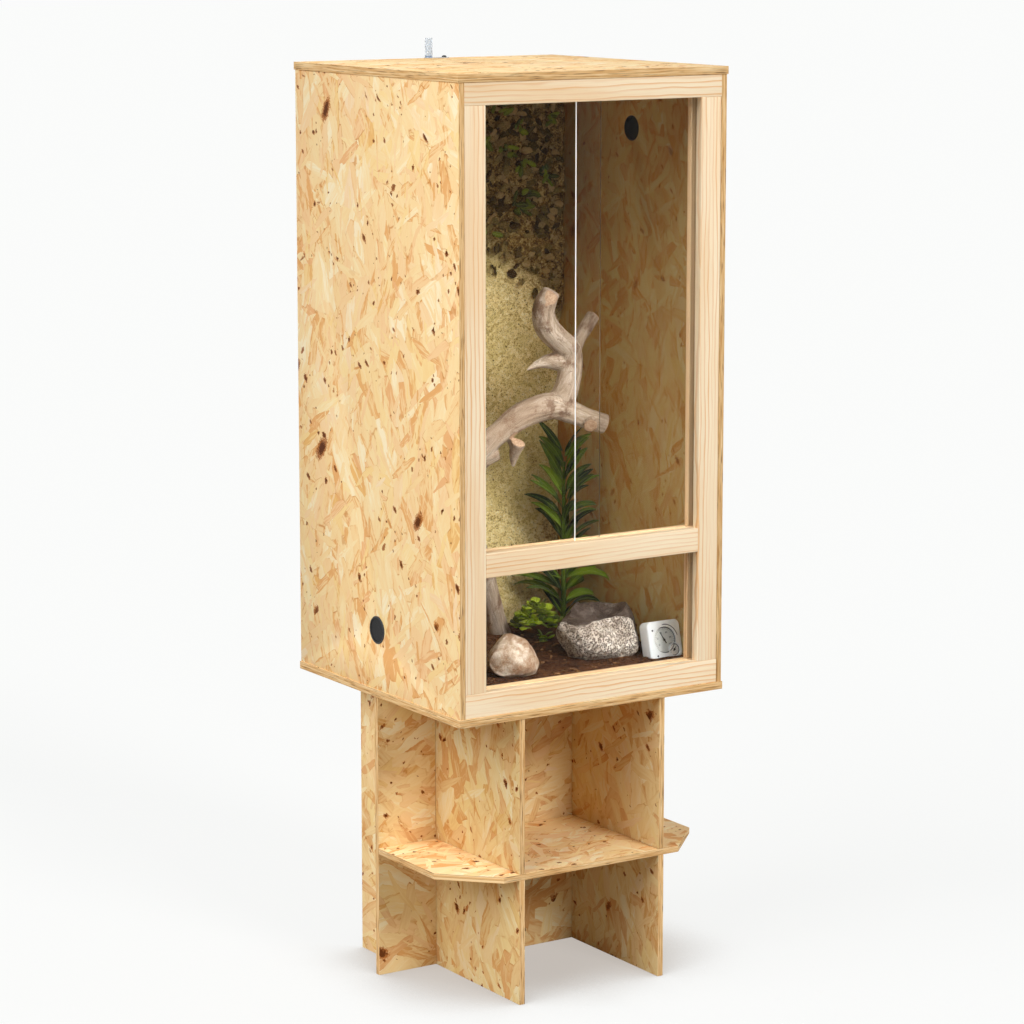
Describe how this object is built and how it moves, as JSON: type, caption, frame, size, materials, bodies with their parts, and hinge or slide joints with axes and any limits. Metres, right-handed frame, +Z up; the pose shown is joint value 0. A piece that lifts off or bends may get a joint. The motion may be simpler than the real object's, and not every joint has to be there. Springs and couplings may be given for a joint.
{
  "type": "terrarium cabinet",
  "caption": "Tall strand-board terrarium cabinet with a pine front frame, sliding glass panes over a fixed one, a dressed interior and a slotted board stand.",
  "frame": {"origin": "on the floor under the middle of the cabinet", "axes": "+Z up, -Y towards the glazed front, +X to the right as seen from the front"},
  "size_m": [0.6, 0.6, 1.7945],
  "materials": {
    "strand_board": "pressed strand board, sealed matt",
    "pine": "planed and lightly oiled",
    "glass": "clear float glass, ground edges",
    "vent_plastic": "moulded, matt black",
    "zinc_plate": "zinc plated",
    "clear_plastic": "clear acrylic, slightly grey",
    "black_steel": "blackened",
    "cork_background": "rough granular bark and cork",
    "soil": "loose dark bark substrate",
    "driftwood": "bleached, smooth weathered",
    "dark_leaf": "waxy leaf",
    "light_leaf": "soft leaf",
    "vine_leaf": "soft leaf",
    "pale_stone": "water-worn, matt",
    "porous_rock": "pitted, matt",
    "gauge_plastic": "satin bluish white",
    "dial_card": "printed card, plain scale",
    "needle": "satin black"
  },
  "bodies": {
    "cabinet": {"base_board": "strand_board", "lid_board": "strand_board", "left_side_panel": "strand_board", "right_side_panel": "strand_board", "back_panel": "strand_board", "bottom_rail": "pine", "top_rail": "pine", "mid_rail": "pine", "left_stile": "pine", "right_stile": "pine", "upper_guide": "pine", "middle_guide": "pine", "sill_guide": "pine", "upper_left_batten": "pine", "upper_right_batten": "pine", "lower_left_batten": "pine", "lower_right_batten": "pine", "fixed_pane": "glass", "left_vent_sleeve": "vent_plastic", "left_vent_grille": "vent_plastic", "right_vent_sleeve": "vent_plastic", "right_vent_grille": "vent_plastic", "fitting_plate": "zinc_plate", "fitting_tube": "clear_plastic", "fitting_screw": "black_steel", "background": "cork_background", "vine": "vine_leaf", "gauge_case": "gauge_plastic", "gauge_dial": "dial_card", "small_bezel": "gauge_plastic", "small_dial": "dial_card", "gauge_lens": "glass", "soil": "soil", "pale_stone": "pale_stone", "rock_dish": "porous_rock", "branch": "driftwood", "upright_plant": "dark_leaf", "rosette_plant": "light_leaf", "stand_cross_plate": "strand_board", "stand_left_plate": "strand_board", "stand_right_plate": "strand_board", "stand_rear_left_plate": "strand_board", "stand_rear_right_plate": "strand_board", "stand_shelf": "strand_board"},
    "left_pane": {"left_pane": "glass"},
    "right_pane": {"right_pane": "glass"},
    "main_needle": {"main_needle": "needle"},
    "small_needle": {"small_needle": "needle"}
  },
  "joints": [
    {"name": "left_pane_slide", "type": "slide", "parent": "cabinet", "child": "left_pane", "axis": [1, 0, 0], "range_m": [0, 0.254]},
    {"name": "right_pane_slide", "type": "slide", "parent": "cabinet", "child": "right_pane", "axis": [-1, 0, 0], "range_m": [0, 0.254]},
    {"name": "main_needle_turn", "type": "hinge", "parent": "cabinet", "child": "main_needle", "pos_m": [0.246, -0.1797, 0.6364], "axis": [0, -0.9703, 0.2419], "range_deg": [-130, 100]},
    {"name": "small_needle_turn", "type": "hinge", "parent": "cabinet", "child": "small_needle", "pos_m": [0.267, -0.18478, 0.61602], "axis": [0, -0.9703, 0.2419], "range_deg": [-75, 155]}
  ]
}
